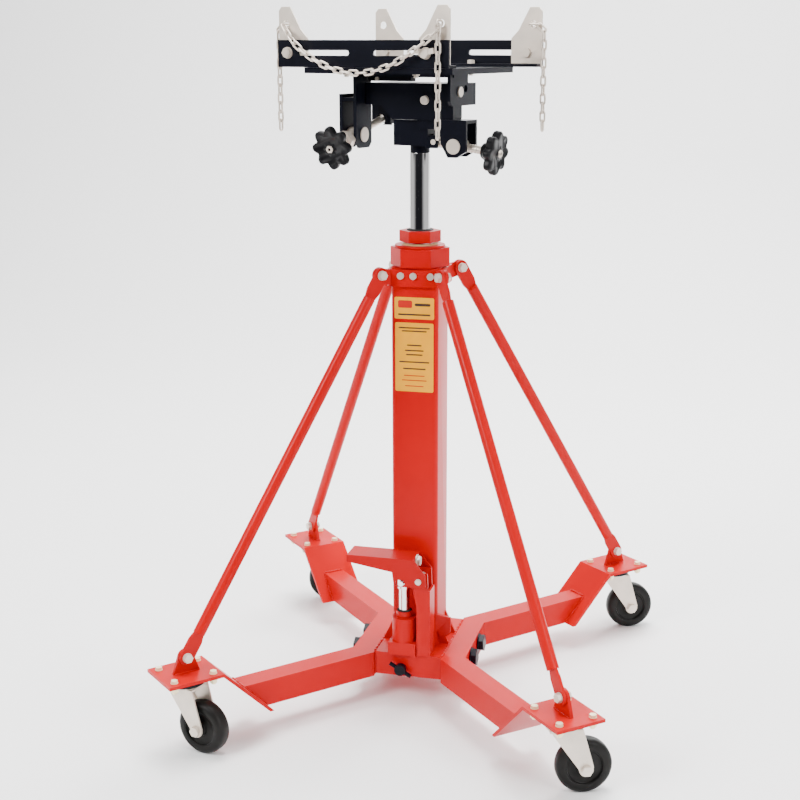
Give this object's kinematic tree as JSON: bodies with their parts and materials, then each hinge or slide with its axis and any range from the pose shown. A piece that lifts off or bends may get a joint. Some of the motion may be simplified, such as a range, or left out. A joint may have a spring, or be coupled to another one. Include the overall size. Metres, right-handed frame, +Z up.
{
  "type": "transmission jack",
  "caption": "Tall telescopic hydraulic jack on a braced four-leg caster base, with a foot pump and a tilting, swivelling cradle head with sliding arms and chains.",
  "frame": {"origin": "on the floor, at the middle of the object's footprint, by the column's axis", "axes": "+Z up along the column, -Y towards the pedal side, +X to the right of someone who faces the pedal"},
  "size_m": [0.8438, 0.8964, 1.312],
  "materials": {
    "red_paint": "gloss",
    "black_paint": "satin",
    "zinc": "zinc plated",
    "yellow_zinc": "yellow zinc plated",
    "chrome": "polished",
    "steel": "drawn tube",
    "black_plastic": "moulded",
    "black_nylon": "moulded"
  },
  "bodies": {
    "base": {"centre_base": "red_paint", "side_frame_left": "red_paint", "side_frame_right": "red_paint", "frame_bolts": "black_paint", "column_tube": "red_paint", "strut_collar": "red_paint", "strut_fl": "red_paint", "strut_fr": "red_paint", "strut_rl": "red_paint", "strut_rr": "red_paint", "strut_bolts": "zinc", "caster_plates": "zinc", "caster_bolts": "yellow_zinc", "caster_races": "black_paint", "pump_body": "red_paint", "pump_bracket": "red_paint", "pressure_cylinder": "steel", "gland_nut": "red_paint"},
    "release": {"release_screw": "black_paint"},
    "stage_one": {"stage_one_tube": "chrome", "stage_one_nut": "red_paint"},
    "ram": {"ram": "chrome"},
    "hub": {"hub": "black_paint"},
    "yoke": {"yoke_frame": "black_paint", "yoke_bolts": "zinc"},
    "side_swing": {"side_block": "zinc"},
    "side_screw": {"side_rod": "zinc", "side_knob": "black_plastic"},
    "side_trunnion": {"side_nut": "zinc"},
    "saddle": {"saddle_pan": "black_paint", "saddle_pins": "zinc", "clamp_bolts": "zinc"},
    "long_swing": {"long_block": "zinc"},
    "long_screw": {"long_rod": "zinc", "long_knob": "black_plastic"},
    "long_trunnion": {"long_nut": "zinc"},
    "front_bar": {"front_arm": "black_paint", "bracket_left": "zinc", "bracket_front": "zinc", "front_arm_bolts": "zinc", "chain_front": "zinc"},
    "back_bar": {"back_arm": "black_paint", "bracket_back": "zinc", "bracket_right": "zinc", "back_arm_bolts": "zinc", "chain_back": "zinc"},
    "left_tail": {"tail_left": "zinc"},
    "front_tail": {"tail_front": "zinc"},
    "right_tail": {"tail_right": "zinc"},
    "pedal": {"pedal": "red_paint", "pedal_fasteners": "zinc"},
    "piston": {"pump_piston": "chrome"},
    "caster_fl": {"fork_fl": "zinc"},
    "roll_fl": {"wheel_fl": "black_nylon"},
    "caster_fr": {"fork_fr": "zinc"},
    "roll_fr": {"wheel_fr": "black_nylon"},
    "caster_rl": {"fork_rl": "zinc"},
    "roll_rl": {"wheel_rl": "black_nylon"},
    "caster_rr": {"fork_rr": "zinc"},
    "roll_rr": {"wheel_rr": "black_nylon"}
  },
  "joints": [
    {"name": "release_turn", "type": "hinge", "parent": "base", "child": "release", "pos_m": [-0.012, -0.1, 0.072], "axis": [0, 1, 0], "range_deg": [0, 180]},
    {"name": "stage_one_lift", "type": "slide", "parent": "base", "child": "stage_one", "axis": [0, 0, 1], "range_m": [0, 0.48]},
    {"name": "ram_lift", "type": "slide", "parent": "stage_one", "child": "ram", "axis": [0, 0, 1], "range_m": [-0.135, 0.345]},
    {"name": "head_turn", "type": "hinge", "parent": "ram", "child": "hub", "pos_m": [0, 0, 1.06], "axis": [0, 0, 1], "continuous": true},
    {"name": "side_screw_turn", "type": "hinge", "parent": "side_swing", "child": "side_screw", "pos_m": [0.03874, -0.03316, 1.077], "axis": [-0.957, 0.2564, 0.1357], "range_deg": [-716, 716]},
    {"name": "side_tilt", "type": "hinge", "parent": "hub", "child": "yoke", "pos_m": [0.03477, -0.00932, 1.151], "axis": [-0.2588, -0.9659, 0], "range_deg": [-8.05, 8.05]},
    {"name": "side_swing_turn", "type": "hinge", "parent": "hub", "child": "side_swing", "pos_m": [0.03874, -0.03316, 1.077], "axis": [-0.2588, -0.9659, 0], "range_deg": [-12, 12]},
    {"name": "side_trunnion_turn", "type": "hinge", "parent": "yoke", "child": "side_trunnion", "pos_m": [0.08317, -0.04506, 1.0707], "axis": [-0.2588, -0.9659, 0], "range_deg": [-4.5, 4.5]},
    {"name": "long_screw_turn", "type": "hinge", "parent": "long_swing", "child": "long_screw", "pos_m": [-0.0882, 0.09196, 1.115], "axis": [0.2513, 0.938, 0.2385], "range_deg": [-1050, 1050]},
    {"name": "long_tilt", "type": "hinge", "parent": "yoke", "child": "saddle", "pos_m": [-0.00828, -0.03091, 1.166], "axis": [0.9659, -0.2588, 0], "range_deg": [-11.6, 11.6]},
    {"name": "long_swing_turn", "type": "hinge", "parent": "yoke", "child": "long_swing", "pos_m": [-0.0882, 0.09196, 1.115], "axis": [0.9659, -0.2588, 0], "range_deg": [-3.6, 3.6]},
    {"name": "long_trunnion_turn", "type": "hinge", "parent": "saddle", "child": "long_trunnion", "pos_m": [-0.11771, -0.01815, 1.087], "axis": [0.9659, -0.2588, 0], "range_deg": [-8.4, 8.4]},
    {"name": "front_arm_slide", "type": "slide", "parent": "saddle", "child": "front_bar", "axis": [0.9659, -0.2588, 0], "range_m": [-0.018, 0.054]},
    {"name": "back_arm_slide", "type": "slide", "parent": "saddle", "child": "back_bar", "axis": [0.9659, -0.2588, 0], "range_m": [-0.058, 0.014]},
    {"name": "left_tail_swing", "type": "hinge", "parent": "front_bar", "child": "left_tail", "pos_m": [-0.24029, -0.08076, 1.2717], "axis": [0.2588, 0.9659, 0], "range_deg": [0, 40]},
    {"name": "front_tail_swing", "type": "hinge", "parent": "front_bar", "child": "front_tail", "pos_m": [0.07723, -0.18893, 1.2622], "axis": [-0.9659, 0.2588, 0], "range_deg": [0, 40]},
    {"name": "right_tail_swing", "type": "hinge", "parent": "back_bar", "child": "right_tail", "pos_m": [0.22474, 0.00728, 1.2717], "axis": [-0.2588, -0.9659, 0], "range_deg": [0, 40]},
    {"name": "pedal_press", "type": "hinge", "parent": "base", "child": "pedal", "pos_m": [0.024, -0.085, 0.256], "axis": [0, -1, 0], "range_deg": [0, 23]},
    {"name": "piston_stroke", "type": "slide", "parent": "base", "child": "piston", "axis": [0, 0, -1], "range_m": [0, 0.0142]},
    {"name": "swivel_fl", "type": "hinge", "parent": "base", "child": "caster_fl", "pos_m": [-0.34387, -0.37527, 0.13], "axis": [0, 0, 1], "continuous": true},
    {"name": "roll_fl", "type": "hinge", "parent": "caster_fl", "child": "roll_fl", "pos_m": [-0.30831, -0.38547, 0.05], "axis": [0.2756, 0.9613, 0], "continuous": true},
    {"name": "swivel_fr", "type": "hinge", "parent": "base", "child": "caster_fr", "pos_m": [0.34387, -0.37527, 0.13], "axis": [0, 0, 1], "continuous": true},
    {"name": "roll_fr", "type": "hinge", "parent": "caster_fr", "child": "roll_fr", "pos_m": [0.37808, -0.36118, 0.05], "axis": [-0.3811, 0.9245, 0], "continuous": true},
    {"name": "swivel_rl", "type": "hinge", "parent": "base", "child": "caster_rl", "pos_m": [-0.34387, 0.37527, 0.13], "axis": [0, 0, 1], "continuous": true},
    {"name": "roll_rl", "type": "hinge", "parent": "caster_rl", "child": "roll_rl", "pos_m": [-0.30967, 0.38937, 0.05], "axis": [-0.3811, 0.9245, 0], "continuous": true},
    {"name": "swivel_rr", "type": "hinge", "parent": "base", "child": "caster_rr", "pos_m": [0.34387, 0.37527, 0.13], "axis": [0, 0, 1], "continuous": true},
    {"name": "roll_rr", "type": "hinge", "parent": "caster_rr", "child": "roll_rr", "pos_m": [0.37808, 0.38937, 0.05], "axis": [-0.3811, 0.9245, 0], "continuous": true}
  ],
  "couplings": [
    {"joint": "side_tilt", "follows": "side_screw_turn", "ratio": 0.011163},
    {"joint": "side_swing_turn", "follows": "side_screw_turn", "ratio": 0.016398},
    {"joint": "side_trunnion_turn", "follows": "side_screw_turn", "ratio": 0.005236},
    {"joint": "long_tilt", "follows": "long_screw_turn", "ratio": -0.010934},
    {"joint": "long_swing_turn", "follows": "long_screw_turn", "ratio": -0.0031741},
    {"joint": "long_trunnion_turn", "follows": "long_screw_turn", "ratio": 0.0077602},
    {"joint": "piston_stroke", "follows": "pedal_press", "m_per_rad": 0.0333}
  ]
}
